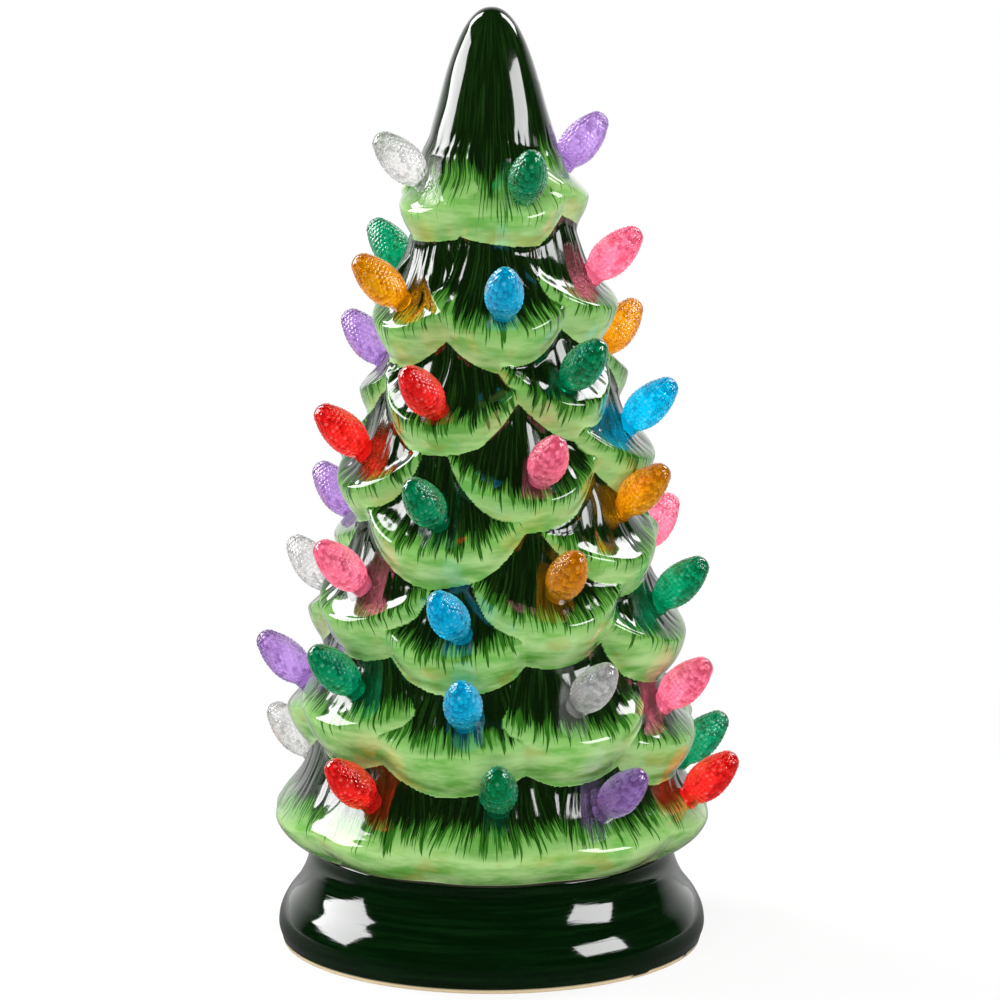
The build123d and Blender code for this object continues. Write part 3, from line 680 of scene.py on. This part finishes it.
base = {
    "neck": 44.8, "bulge": 52.4, "height": 25.0, "footWidth": 4.0, "footChamfer": 1.0,
    "deckOpening": 33.0, "deckBottom": 21.0, "innerDeck": 39.5, "rimRadius": 44.2, "rimHeight": 9.0,
    "plateTop": 5.4, "edgeRound": 1.4, "rimOut": 40.2, "rimIn": 37.6, "rimTop": 29.0, "softEdge": 0.3,
    "flare": ((0.96, 0.09), (1.0, 0.25), (0.78, 0.416), (0.37, 0.584), (0.08, 0.776), (0.0, 0.90)),
    "columns": 288, "flareRows": 60, "wobble": 0.1,
    "dark": tint(1, 20, 2), "streak": tint(6, 31, 7), "clay": tint(226, 206, 168),
}


def smoothCurve(x, y, startSlope, endSlope, at):
    # cubic through the points, with given slopes at the ends
    slopes = np.gradient(y, x)
    slopes[0], slopes[-1] = startSlope, endSlope
    index = np.clip(np.searchsorted(x, at) - 1, 0, len(x) - 2)
    width = x[index + 1] - x[index]
    t = (at - x[index]) / width
    a, b = 2 * t**3 - 3 * t**2 + 1, t**3 - 2 * t**2 + t
    c, d = 3 * t**2 - 2 * t**3, t**3 - t**2
    return a * y[index] + b * width * slopes[index] + c * y[index + 1] + d * width * slopes[index + 1]


def makeBase():
    heights = np.array([base["height"] * up for out, up in base["flare"]])
    reaches = np.array([base["neck"] + (base["bulge"] - base["neck"]) * out for out, up in base["flare"]])
    rise = np.linspace(heights[0], heights[-1], base["flareRows"])
    outline = [(smoothCurve(heights, reaches, 0.5, 0, np.array([h]))[0], h) for h in rise]
    footIn = base["bulge"] - base["footChamfer"] - base["footWidth"]
    foot = footIn + base["footWidth"]
    chamfer = [(foot + (outline[0][0] - foot) * t, outline[0][1] * t) for t in (0, 0.12, 0.3, 0.5, 0.75)]
    turn = np.linspace(0, math.pi / 2, 7)
    edge = [(base["neck"] - base["edgeRound"] * (1 - math.cos(t)),
             base["height"] - base["edgeRound"] * (1 - math.sin(t))) for t in turn]
    soft, deck, rim = base["softEdge"], base["height"], base["rimTop"]
    top = [(base["rimOut"] + soft, deck), (base["rimOut"], deck + soft),
           (base["rimOut"], rim - soft), (base["rimOut"] - soft, rim),
           (base["rimIn"] + soft, rim), (base["rimIn"], rim - soft),
           (base["rimIn"], deck + soft), (base["rimIn"] - soft, deck),
           (base["deckOpening"] + soft, deck), (base["deckOpening"], deck - soft),
           (base["deckOpening"], base["deckBottom"])]
    inside = [(base["innerDeck"], base["deckBottom"]), (base["rimRadius"], base["rimHeight"]),
              (base["rimRadius"], base["plateTop"]), (footIn, base["plateTop"]),
              (footIn, soft), (footIn + soft, 0)]
    profile = chamfer + outline + edge + top + inside
    columns = base["columns"]
    azimuth = np.linspace(-180, 180, columns, endpoint=False)
    rings, bare = [], []
    outside = len(chamfer) + len(outline) + len(edge)
    for index, (radius, z) in enumerate(profile):
        wobble = 0
        if 2 < index < outside:  # hand-brushed glaze is never quite even
            angle = np.radians(azimuth)
            wobble = base["wobble"] * (cloud(9 + 6 * np.sin(angle), z / 6 + 3 * np.cos(angle), 4) - 1)
        rings.append(around(azimuth, radius + wobble, z))
        lowest = 0.6 + 0.4 * cloud(azimuth / 11, azimuth * 0, 8)
        if index < outside:
            bare.append(np.where(z < lowest, 1.0, 0.0))
        else:  # the deck is glazed, the inside isn't
            bare.append(np.full(columns, float(index >= outside + len(top) - 1)))
    points = np.concatenate(rings)
    here, beside = np.arange(columns), (np.arange(columns) + 1) % columns
    last = (len(profile) - 1) * columns
    close = np.stack([last + here, last + beside, beside, here], -1)
    piece = makePiece("baseRing", points, [ringFaces(len(profile), columns), close])
    paintValues(piece, "bareClay", np.concatenate(bare))
    paintVectors(piece, "brushPlace", points)
    brew = Brew("baseGlaze")
    place = brew.painted("brushPlace", "Vector")
    sweep = brew.grain(brew.stretch(place, (0.05, 0.05, 1.1)), 1.0, 3)
    drift = brew.grain(place, 0.07, 2)
    colour = brew.blend(brew.fade(sweep, 0.42, 0.68), base["dark"], base["streak"])
    colour = brew.blend(brew.fade(drift, 0.5, 0.75, 0, 0.5), colour, base["dark"])
    bareClay = brew.painted("bareClay")
    colour = brew.blend(bareClay, colour, base["clay"])
    brew.set(Base_Color=colour, Roughness=brew.fade(bareClay, 0, 1, 0.07, 0.8))
    brew.set(Coat_Weight=0.9, Coat_Roughness=0.02, Coat_IOR=1.5)
    brew.bump(brew.sum(sweep, drift), 0.2, 0.0003)
    piece.data.materials.append(brew.material)
    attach(piece, "base")
    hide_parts("base_shell")


makeBase()
print("base turned")

# works inside the base: the solids are right as they are and only need their finishes

finishes = {
    "trayPlastic": {"nodes": ("battery_tray",), "low": (20, 20, 20), "high": (34, 34, 34), "rough": (0.45, 0.6),
                    "grain": 2400, "bump": 0.3},
    "doorPlastic": {"nodes": ("battery_door",), "low": (26, 26, 26), "high": (40, 40, 40), "rough": (0.42, 0.58),
                    "grain": 2400, "bump": 0.3},
    "whiteSealant": {"nodes": ("tray_sealant",), "low": (214, 212, 204), "high": (232, 231, 226),
                     "rough": (0.35, 0.5), "grain": 350, "bump": 0.3},
    "cellJacket": {"nodes": ("battery_1", "battery_2", "battery_3"), "low": (40, 42, 46), "high": (58, 60, 66),
                   "rough": (0.25, 0.38), "grain": 600, "bump": 0.05, "metal": 0.6},
    "contactNickel": {"nodes": ("negative_terminal", "positive_terminal", "series_link_left", "series_link_right"),
                      "low": (186, 184, 176), "high": (208, 206, 200), "rough": (0.22, 0.4), "grain": 900,
                      "bump": 0.05, "metal": 1.0},
    "switchCase": {"nodes": ("switch_body",), "low": (24, 24, 26), "high": (38, 38, 40), "rough": (0.4, 0.55),
                   "grain": 2000, "bump": 0.2},
    "knobPlastic": {"nodes": ("switch_slider",), "low": (196, 196, 190), "high": (212, 212, 206),
                    "rough": (0.4, 0.55), "grain": 2000, "bump": 0.2},
    "boardResist": {"nodes": ("led_board",), "low": (18, 84, 44), "high": (28, 104, 56), "rough": (0.22, 0.34),
                    "grain": 500, "bump": 0.1},
    "screwZinc": {"nodes": ("board_screws",), "low": (168, 170, 174), "high": (196, 198, 200), "rough": (0.2, 0.4),
                  "grain": 1200, "bump": 0.1, "metal": 1.0},
    "lampEpoxy": {"nodes": ("led_1", "led_2", "led_3"), "low": (236, 232, 214), "high": (246, 244, 232),
                  "rough": (0.05, 0.12), "grain": 400, "bump": 0.05, "clear": 0.7},
    "redInsulation": {"nodes": ("positive_wire", "switch_wire"), "low": (150, 18, 16), "high": (178, 26, 22),
                      "rough": (0.35, 0.5), "grain": 900, "bump": 0.1},
    "blackInsulation": {"nodes": ("negative_wire",), "low": (20, 20, 20), "high": (34, 34, 34),
                        "rough": (0.35, 0.5), "grain": 900, "bump": 0.1},
}


def dressWorks():
    for name, finish in finishes.items():
        brew = Brew(name)
        place = brew.put("ShaderNodeTexCoord").outputs["Object"]
        patch = brew.grain(place, 90, 3)
        speck = brew.grain(place, finish["grain"], 2)
        mixed = brew.sum(brew.sum(patch, 0.6, "MULTIPLY"), brew.sum(speck, 0.4, "MULTIPLY"))
        brew.set(Base_Color=brew.blend(brew.fade(mixed, 0.35, 0.65), tint(*finish["low"]), tint(*finish["high"])))
        brew.set(Roughness=brew.fade(mixed, 0.3, 0.7, *finish["rough"]))
        brew.set(Metallic=finish.get("metal", 0.0), Transmission_Weight=finish.get("clear", 0.0))
        brew.bump(speck, finish["bump"], 0.0002)
        for node in finish["nodes"]:
            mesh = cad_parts[node].data
            mesh.materials.clear()
            mesh.materials.append(brew.material)


dressWorks()
print("works dressed")
